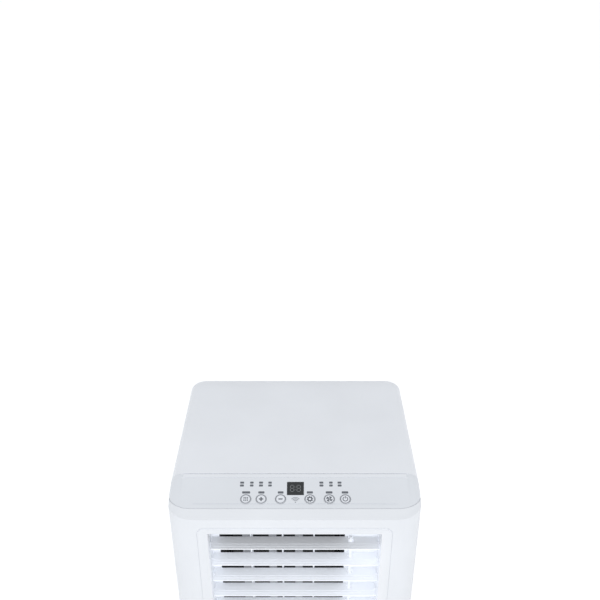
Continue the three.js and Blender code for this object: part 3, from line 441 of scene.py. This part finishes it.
# ---- Control strip ----
BUTTON_LENGTH = 4.45
BUTTON_PROUD = 0.25
STRIP_NORMAL = -Vector(JOINTS["button_1_press"]["axis"])
STRIP_UP = Vector((0, STRIP_NORMAL.z, -STRIP_NORMAL.y))
ROW = middle_of("button_1") / MM
STRIP_ORIGIN = Vector((0, ROW.y, ROW.z)) + STRIP_NORMAL * (BUTTON_LENGTH / 2 - BUTTON_PROUD)


def on_strip(x, v, h):
    """A point on the strip: x across, v up the slope from the row of buttons, h out of it."""
    return STRIP_ORIGIN + Vector((x, 0, 0)) + STRIP_UP * v + STRIP_NORMAL * h


PRINT_SINK = 0.05
PRINT_PROUD = 0.05
RING_RADII = (5.5, 6.6)
LABEL_V = 9.9
LABEL_HEIGHT = 3.3
LABEL_WIDTHS = (10.5, 8.0, 7.5, 8.0, 8.8, 8.5)
MARK_HEIGHT = 3.1
MARK_XS = (-69.7, -56.8, -44.6, -32.7, 35.2, 47.8, 59.2)
MARK_VS = (20.4, 24.8)
MARK_WIDTHS = (5.2, 5.2 - 0.6)  # turn and turn about
SENSOR_MARK = (1.0, -4.6)
SENSOR_RADII = (2.3, 4.3, 6.3)
SENSOR_STROKE = 1.15
PRINT_CORNER = 0.8


def printed(name, outlines, material, body, level=0.0, rings=()):
    """Thin raised print on the strip, or on something that stands level above it."""
    bm = bmesh.new()
    low = level - PRINT_SINK
    high = level + PRINT_PROUD
    for outline in outlines:
        prism(bm, outline, on_strip, low, high)
    for centre, radii in rings:
        ring(bm, centre, radii, on_strip, low, high)
    return added(name, bm, material, body)


def grid_icon(x):
    pitch, dot, corner = 2.2, 1.45, 0.3
    places = [(x + pitch * i, pitch * k) for i in (-1, 0, 1) for k in (-1, 0, 1)]
    return [bar(place, dot, dot, corner) for place in places]


def plus_icon(x):
    """A cross whose arms are 2 a wide and reach b from its middle."""
    a, b = 0.9, 2.9
    corner = ((a, a), (a, b), (-a, b), (-a, a), (-b, a), (-b, -a), (-a, -a), (-a, -b))
    return [[(x + u, v) for u, v in (*corner, (a, -b), (a, -a), (b, -a), (b, a))]]


def minus_icon(x):
    width, height, corner = 5.4, 1.7, 0.4
    return [bar((x, 0), width, height, corner)]


def gear_icon(x):
    """Eight stout teeth round a ring, as one outline for the upper half and one for the lower."""
    tip, root, hole = 4.3, 3.4, 1.7
    outlines = []
    for start in (0, 180):
        outer = []
        for tooth in range(4):
            angle = start + 45 * tooth
            for offset, radius in ((0, tip), (18, tip), (24, root), (42, root)):
                outer.append(polar((x, 0), radius, angle + offset))
        inner = [polar((x, 0), hole, start + 180 - 15 * k) for k in range(13)]
        outlines.append(outer + inner)
    return outlines


def fan_icon(x):
    """Four blades that widen and lean as they leave the hub."""
    hub, step = 0.6, 0.76
    blades = []
    for turn in range(0, 360, 90):
        lead = [polar((x, 0), hub + step * k, turn + 8 * k) for k in range(6)]
        trail = [polar((x, 0), hub + step * k, turn + 72 + 4 * k) for k in range(5, -1, -1)]
        blades.append(lead + trail)
    return blades


def power_icon(x):
    """A ring that is open at the top, with an upright bar in the opening."""
    radii, stroke = (2.5, 3.6), 1.1
    return [arc((x, 0), radii, 120, 420, 24), bar((x, 2.6), stroke, 3.6)]


ICONS = (grid_icon, plus_icon, minus_icon, gear_icon, fan_icon, power_icon)


def make_prints():
    for button, icon, width in zip(BUTTONS, ICONS, LABEL_WIDTHS):
        x = middle_of(button).x / MM
        body = BODY_OF[button]
        centre = (x, 0)
        printed(button + "_ring", [], "print_ring", body, BUTTON_PROUD, [(centre, RING_RADII)])
        printed(button + "_icon", icon(x), "print_grey", body, BUTTON_PROUD)
        label = bar((x, LABEL_V), width, LABEL_HEIGHT, PRINT_CORNER)
        printed(button + "_label", [label], "print_grey", "casing")
    for i, x in enumerate(MARK_XS):
        outlines = [bar((x, v), MARK_WIDTHS[i % 2], MARK_HEIGHT, PRINT_CORNER) for v in MARK_VS]
        printed("mark_%d" % (i + 1), outlines, "print_grey", "casing")
    arcs = [arc(SENSOR_MARK, (r, r + SENSOR_STROKE), 42, 138, 12) for r in SENSOR_RADII]
    printed("receiver_mark", [*arcs, bar(SENSOR_MARK, 1.8, 1.8, 0.7)], "print_faint", "casing")


DIGIT = {"width": 4.6, "height": 9.5, "bar": 0.9, "gap": 0.35, "cut": 1.2, "corner": 0.3}
DIGIT_XS = (-4.3, 4.3)
COLON_VS = (-2.0, 2.0)
COLON_DOT = 0.8


def digit_outlines(x, v):
    """Seven bars of an unlit digit, round a centre."""
    w, h = DIGIT["width"] / 2, DIGIT["height"] / 2
    thick, corner = DIGIT["bar"], DIGIT["corner"]
    across = DIGIT["width"] - DIGIT["cut"]
    upright = h - thick - DIGIT["gap"]
    outlines = [bar((x, v + k * h), across, thick, corner) for k in (-1, 0, 1)]
    for side in (-1, 1):
        for half in (-1, 1):
            outlines.append(bar((x + side * w, v + half * h / 2), thick, upright, corner))
    return outlines


LEVEL = 0.995  # an upward share of a face's normal that counts as level


def make_strip():
    """The strip in a darker copy of the lid's grey as painted shade, with the level band behind its kink as light
    as the lid.
    """
    piece = finished("control_panel")
    piece.data.materials.append(MATERIALS["lid_grey"])
    # Level faces get the lid's grey back; the sloping faces keep the strip's painted shade.
    for polygon in piece.data.polygons:
        if polygon.normal.z > LEVEL:
            polygon.material_index = 1


def make_display():
    finished("display_window", 0.15)
    window = middle_of("display_window") / MM
    v = (window - STRIP_ORIGIN).dot(STRIP_UP)
    outlines = []
    for offset in DIGIT_XS:
        outlines += digit_outlines(window.x + offset, v)
    outlines += [bar((window.x, v + k), COLON_DOT, COLON_DOT, DIGIT["corner"]) for k in COLON_VS]
    printed("display_digits", outlines, "segment", "casing", 0.1)


# ---- Outlet ----
RIB = {"foot": 0.35, "crest": 0.1, "height": 0.35, "sink": 0.2, "end": 6}
RIB_YS = (-6.5, -2.5)
BLADE_HALF_T = 0.9
FLANGE = {"lap": 3, "corner": 9, "depths": (1.5, 2.1)}
FRAME_RIB = {"length": 3, "front": 1.9}  # upright ribs at the tunnel's end
FRAME_BORDER = 2
PLATE_AHEAD = 1.2  # the back plate's face, ahead of the vanes


def make_louvre(node):
    """A louvre with fine stiffening ribs along its top."""
    finished(node, 0.3)
    low, high = span(node)
    pivot = Vector(JOINTS[node + "_tilt"]["pos_m"]) / MM
    top = pivot.z + BLADE_HALF_T
    bm = bmesh.new()
    foot, crest = top - RIB["sink"], top + RIB["height"]
    for y in RIB_YS:
        at = pivot.y + y
        outline = [(at - RIB["foot"], foot), (at + RIB["foot"], foot)]
        outline += [(at + RIB["crest"], crest), (at - RIB["crest"], crest)]
        prism(bm, outline, AXES["x"], low.x + RIB["end"], high.x - RIB["end"])
    added(node + "_ribs", bm, "louvre_white", BODY_OF[node])


def make_flange():
    """The frame's flange behind the shell's edge, seen at the bottom of the gap between them."""
    low, high = span("louvre_frame")
    centre = ((low.x + high.x) / 2, (low.z + high.z) / 2)
    lap = FLANGE["lap"]
    sizes = [(high.x - low.x + k, high.z - low.z + k, FLANGE["corner"] + k / 2) for k in (lap, -lap)]
    outer, inner = (bar(centre, *size) for size in sizes)
    front, back = (low.y + depth for depth in FLANGE["depths"])
    bm = bmesh.new()
    outline_ring(bm, outer, inner, lambda x, z, y: Vector((x, y, z)), front, back)
    added("frame_flange", bm, "shell_white", "casing")


def make_outlet_frame():
    """The frame: the louvres' paler, glowing white inside its border as painted light, and as painted shade a dark
    duct behind the plate and grey ribs.
    """
    make_flange()
    piece = finished("louvre_frame", 0.5)
    low, high = span("louvre_frame")
    plate = span("vane_1")[0].y - PLATE_AHEAD
    own, dark, grey, painted_light = range(4)
    for material in ("dark_plastic", "grey_plastic", "louvre_white"):
        piece.data.materials.append(MATERIALS[material])
    for polygon in piece.data.polygons:
        depths = [piece.data.vertices[i].co.y / MM for i in polygon.vertices]
        faces_front = polygon.normal.y <= -0.5
        # Grey ribs and the dark duct are painted shade where the deep outlet is shaded; the inner walls take
        # painted light.
        if min(depths) > high.y - FRAME_RIB["length"]:
            polygon.material_index = grey if max(depths) < high.y - FRAME_RIB["front"] else dark
        elif sum(depths) / len(depths) > plate and not faces_front:
            polygon.material_index = dark
        elif max(depths) > low.y + FRAME_BORDER:
            polygon.material_index = painted_light
        else:
            polygon.material_index = own


# ---- Rear fittings ----
COLLAR = {"bore": 60, "tube": 63, "lip": 2.6}
GLAND = {"bore": 3.8, "stem": 9, "head": 2.6}


def make_collar():
    """The hose collar: a tube and a flange with a bevelled rim and a rolled mouth."""
    low, high = span("exhaust_collar")
    flange = (high.x - low.x) / 2
    centre = ((low.x + high.x) / 2, 0, (low.z + high.z) / 2)
    bore, tube, back = COLLAR["bore"], COLLAR["tube"], high.y
    face = back - COLLAR["lip"]
    profile = [(bore, low.y), (tube, low.y), (tube, face), (flange, face), (flange, back - 1.2)]
    profile += [(flange - 1.6, back), (bore + 4, back), (bore + 3, back - 1), (bore, back - 1.6)]
    bm = bmesh.new()
    lathe(bm, profile + profile[:1], "y", centre, 128)
    detailed("exhaust_collar", bm, 0.4, 20)


def make_plug(node):
    """A drain plug: a stem with a bevelled tip, and a head that is dished at the back."""
    low, high = span(node)
    head = (high.x - low.x) / 2
    centre = ((low.x + high.x) / 2, 0, (low.z + high.z) / 2)
    back = high.y
    stem, face, dish = 3.6, back - 3, back - 0.6
    profile = [(0, low.y), (stem - 0.4, low.y), (stem, low.y + 1), (stem, face), (head, face)]
    profile += [(head, back - 1), (head - 0.8, back), (head - 2.6, back), (head - 3.2, dish), (0, dish)]
    bm = bmesh.new()
    lathe(bm, profile, "y", centre, 48)
    detailed(node, bm, 0.2)


def make_gland():
    """The cord's gland, hollow, with a stepped and bevelled head."""
    low, high = span("cord_gland")
    flange = (high.x - low.x) / 2
    centre = ((low.x + high.x) / 2, 0, (low.z + high.z) / 2)
    front, back = low.y, high.y
    bore, stem = GLAND["bore"], GLAND["stem"]
    face = back - GLAND["head"]
    profile = [(bore, front), (stem, front), (stem, face), (flange, face), (flange, back - 1.6)]
    profile += [(flange - 2, back - 0.9), (7.4, back - 0.7), (6.2, back), (bore, back)]
    bm = bmesh.new()
    lathe(bm, profile + profile[:1], "y", centre, 64)
    detailed("cord_gland", bm, 0.3)


STRAND = {"pitch": 2.4, "half": 0.22, "y": 2.2, "inset": 5}


def make_filter():
    """The filter's frame, and a fine woven mesh across its panes."""
    finished("air_filter", 0.3)
    low, high = span("air_filter")
    y = low.y + STRAND["y"]
    half, inset, pitch = STRAND["half"], STRAND["inset"], STRAND["pitch"]
    bm = bmesh.new()
    for k in range(int((high.x - low.x - 2 * inset) / pitch)):
        x = low.x + inset + pitch * (k + 0.5)
        cuboid(bm, (x - half, y - half, low.z + inset), (x + half, y + half, high.z - inset))
    for k in range(int((high.z - low.z - 2 * inset) / pitch)):
        z = low.z + inset + pitch * (k + 0.5)
        cuboid(bm, (low.x + inset, y + half, z - half), (high.x - inset, y + 3 * half, z + half))
    added("filter_mesh", bm, "filter_mesh", BODY_OF["air_filter"])


# ---- Casters ----
def make_wheel(node):
    """A wheel with a hub, dished sides, a rounded tread and a groove round its middle."""
    low, high = span(node)
    r = (high.z - low.z) / 2
    h = (high.x - low.x) / 2
    centre = (low + high) / 2
    half = [(3.4, h), (6.2, h), (6.2, h - 2), (11.2, h - 2.6), (12.2, h - 0.6), (14.2, h), (16.2, h - 1.2)]
    half += [(r, h - 3.4), (r, 2.2), (r - 0.7, 1.7), (r - 0.7, 0.8), (r, 0.4)]
    profile = half + [(radius, -height) for radius, height in reversed(half)]
    bm = bmesh.new()
    lathe(bm, profile + profile[:1], "x", centre, 96)
    detailed(node, bm, 0.2, 25)


# ---- Fans, motors and the sealed circuit ----
CAGE = {"share": 0.80, "blades": 40, "thick": 0.9, "curve": 11, "sides": 96, "rim": 3}


def make_fan(node, axis, disc_at, bore=4.2):
    """A squirrel-cage wheel with many thin, forward-curved blades."""
    low, high = span(node)
    centre = (low + high) / 2
    index = "xyz".index(axis)
    radius = (high.z - low.z) / 2
    front, back = low[index], high[index]
    centre[index] = 0
    inner = radius * CAGE["share"]
    bm = bmesh.new()
    for a, b in ((front, front + CAGE["rim"]), (back - CAGE["rim"], back)):
        profile = [(inner, a), (radius, a), (radius, b), (inner, b), (inner, a)]
        lathe(bm, profile, axis, centre, CAGE["sides"])
    hub = [(bore, disc_at - 6), (9, disc_at - 6), (9, disc_at), (radius, disc_at), (radius, disc_at + 2.5)]
    hub += [(16, disc_at + 2.5), (9, disc_at + 8), (bore, disc_at + 8), (bore, disc_at - 6)]
    lathe(bm, hub, axis, centre, CAGE["sides"])
    place = on_axis(axis, centre)
    steps = 5
    for blade in range(CAGE["blades"]):
        turn = 360 * blade / CAGE["blades"]
        reach = [inner + (radius - 0.6 - inner) * k / steps for k in range(steps + 1)]
        swing = [turn + CAGE["curve"] * (k / steps) ** 2 for k in range(steps + 1)]
        width = math.degrees(CAGE["thick"] / radius)
        outline = [polar((0, 0), r, a) for r, a in zip(reach, swing)]
        outline += [polar((0, 0), r, a + width) for r, a in reversed(list(zip(reach, swing)))]
        prism(bm, outline, place, front + 1, back - 1)
    detailed(node, bm, 0.15, 40, 1)


def make_motor(node, axis, can):
    """A pressed steel can with rounded ends, bearing noses, through bolts and a shaft."""
    low, high = span(node)
    centre = (low + high) / 2
    index = "xyz".index(axis)
    front, back = low[index], high[index]
    centre[index] = 0
    radius = (high.z - low.z) / 2
    start, end = can
    nose, shaft = radius * 0.35, 3.8
    profile = [(0, front), (shaft, front), (shaft, start - 3), (nose, start - 3), (nose, start)]
    profile += [(radius - 5, start), (radius, start + 5), (radius, end - 5), (radius - 5, end)]
    profile += [(nose, end), (nose, end + 3), (shaft, end + 3), (shaft, back), (0, back)]
    bm = bmesh.new()
    lathe(bm, profile, axis, centre, 72)
    for k in range(4):
        u, v = polar((0, 0), radius - 8, 45 + 90 * k)
        for a, b in ((start - 2, start + 0.5), (end - 0.5, end + 2)):
            bolt = Vector(centre) + AXES[axis](u, v, 0)
            lathe(bm, [(0, a), (3, a), (3, b), (0, b)], axis, bolt, 6)
    detailed(node, bm, 0.5)


FIN = {"pitch": 2.6, "thick": 0.5, "inset": 0.5}
COIL_TUBE = 3.6
COIL_END = 7  # from the end plates to the box's sides
COIL_PLATE = 1.5
COIL_BEND = COIL_END - COIL_TUBE - 1.2


def make_coil(node, rows):
    """A coil: thin upright fins on rows of tubes, with end plates and return bends."""
    low, high = span(node)
    left, right = low.x + COIL_END, high.x - COIL_END
    front, back = low.y, high.y
    inset = FIN["inset"]
    bm = bmesh.new()
    count = int((right - left - 2 * COIL_PLATE) / FIN["pitch"])
    for k in range(count):
        x = left + COIL_PLATE + inset + FIN["pitch"] * k
        cuboid(bm, (x, front + inset, low.z + 1), (x + FIN["thick"], back - inset, high.z - 1))
    for x in (left, right - COIL_PLATE):
        cuboid(bm, (x, front, low.z), (x + COIL_PLATE, back, high.z))
    detailed(node, bm, 0.12, 40, 1)
    tubes = bmesh.new()
    pitch = (high.z - low.z) / rows
    depths = (front + 8, back - 8)
    for i in range(rows):
        z = low.z + (i + 0.5) * pitch
        for y in depths:
            sweep(tubes, [(left - 1, y, z), (right + 1, y, z)], COIL_TUBE, 12)
        for x, side in ((left - 1, -1), (right + 1, 1)):
            bend = []
            for k in range(13):
                a = math.pi * k / 12
                y = (depths[0] + depths[1]) / 2 - (depths[1] - depths[0]) / 2 * math.cos(a)
                bend.append((x + side * COIL_BEND * math.sin(a), y, z))
            sweep(tubes, bend, COIL_TUBE, 12)
    added(node + "_tubes", tubes, "copper", BODY_OF[node])


COMPRESSOR = {"x": -84, "y": -40, "radius": 48, "bottom": 54, "first_foot": math.degrees(0.5)}


def make_compressor():
    """A welded shell with a seam, a domed top with its terminal, and three ears on rubber feet."""
    low, high = span("compressor")
    x, y, r = COMPRESSOR["x"], COMPRESSOR["y"], COMPRESSOR["radius"]
    bottom, top = COMPRESSOR["bottom"], high.z
    profile = [(0, bottom), (r - 10, bottom), (r - 2, bottom + 4), (r, bottom + 12), (r, bottom + 20)]
    profile += [(r + 1.2, bottom + 22), (r + 1.2, bottom + 26), (r, bottom + 28), (r, top - 30)]
    profile += [(r * 0.97, top - 20), (r * 0.86, top - 10), (r * 0.6, top - 3.5)]
    profile += [(r * 0.3, top - 1), (0, top - 1)]
    bm = bmesh.new()
    lathe(bm, profile, "z", (x, y, 0), 96)
    lathe(bm, [(0, top - 6), (9, top - 6), (9, top), (0, top)], "z", (x, y, 0), 32)
    for k in range(3):
        u, v = polar((x, y), r + 4, COMPRESSOR["first_foot"] + 120 * k)
        ear = [(0, bottom), (10, bottom), (10, bottom + 3), (0, bottom + 3)]
        lathe(bm, ear, "z", (u, v, 0), 32)
        foot = [(0, low.z), (9, low.z), (9, low.z + 3), (6.5, low.z + 5), (8, bottom), (0, bottom)]
        lathe(bm, foot, "z", (u, v, 0), 32)
    detailed("compressor", bm, 0.8)


def make_accumulator():
    """An upright can with spun ends."""
    low, high = span("accumulator")
    centre = (low + high) / 2
    centre.z = 0
    r = (high.x - low.x) / 2
    profile = [(0, low.z), (r * 0.35, low.z + 0.5), (r * 0.75, low.z + 4), (r, low.z + 13)]
    profile += [(r, high.z - 13), (r * 0.75, high.z - 4), (r * 0.35, high.z - 0.5), (0, high.z)]
    bm = bmesh.new()
    lathe(bm, profile, "z", centre, 64)
    detailed("accumulator", bm, 3)


def make_pipe(node):
    """The CAD pipe made round."""
    piece = finished(node, 0.2, 80)
    for modifier in list(piece.modifiers):
        piece.modifiers.remove(modifier)
    smooth = piece.modifiers.new("round", "SUBSURF")
    smooth.levels = smooth.render_levels = 2


BOARD_PARTS = (  # across, up the slope, width, length, height, material
    (-62, 4, 14, 10, 4.0, "dark_plastic"),
    (-34, 2, 10, 10, 1.6, "dark_plastic"),
    (-8, -3, 20, 7, 2.2, "dark_plastic"),
    (30, 4, 9, 15, 5.0, "grey_plastic"),
    (52, 3, 12, 8, 2.4, "dark_plastic"),
    (70, 5, 8, 12, 4.5, "grey_plastic"),
)


def make_board():
    """The circuit board with chips and plugs on its underside."""
    finished("control_board", 0.15)
    low, high = span("control_board")
    board = (low + high) / 2
    v = (board - STRIP_ORIGIN).dot(STRIP_UP)
    h = (board - STRIP_ORIGIN).dot(STRIP_NORMAL) - 0.8
    for i, (x, dv, width, length, tall, material) in enumerate(BOARD_PARTS):
        bm = bmesh.new()
        prism(bm, bar((x, v + dv), width, length), on_strip, h - tall, h + 0.1)
        added("board_part_%d" % (i + 1), bm, material, "casing", 0.3)


# ---- Assembly ----
make_camera()
make_light()
MATERIALS = make_materials()
make_floor()

MADE = {
    "control_panel": make_strip,
    "display_window": make_display,
    "louvre_frame": make_outlet_frame,
    "exhaust_collar": make_collar,
    "cord_gland": make_gland,
    "air_filter": make_filter,
    "compressor": make_compressor,
    "accumulator": make_accumulator,
    "control_board": make_board,
    "drain_plug_upper": lambda: make_plug("drain_plug_upper"),
    "drain_plug_lower": lambda: make_plug("drain_plug_lower"),
    "upper_fan": lambda: make_fan("upper_fan", "x", -20),
    "lower_fan": lambda: make_fan("lower_fan", "y", 12),
    "upper_motor": lambda: make_motor("upper_motor", "x", (82, 138)),
    "lower_motor": lambda: make_motor("lower_motor", "y", (-66, -8)),
    "evaporator": lambda: make_coil("evaporator", 7),
    "condenser": lambda: make_coil("condenser", 5),
}
for node in sorted(frame["nodes"]):
    if node in MADE:
        MADE[node]()
    elif node in LOUVRES:
        make_louvre(node)
    elif node.startswith("caster_wheel"):
        make_wheel(node)
    elif node.endswith(("_pipe", "_tube")):
        make_pipe(node)
    else:
        finished(node, ROUNDING_OF.get(node, ROUNDING))
make_prints()
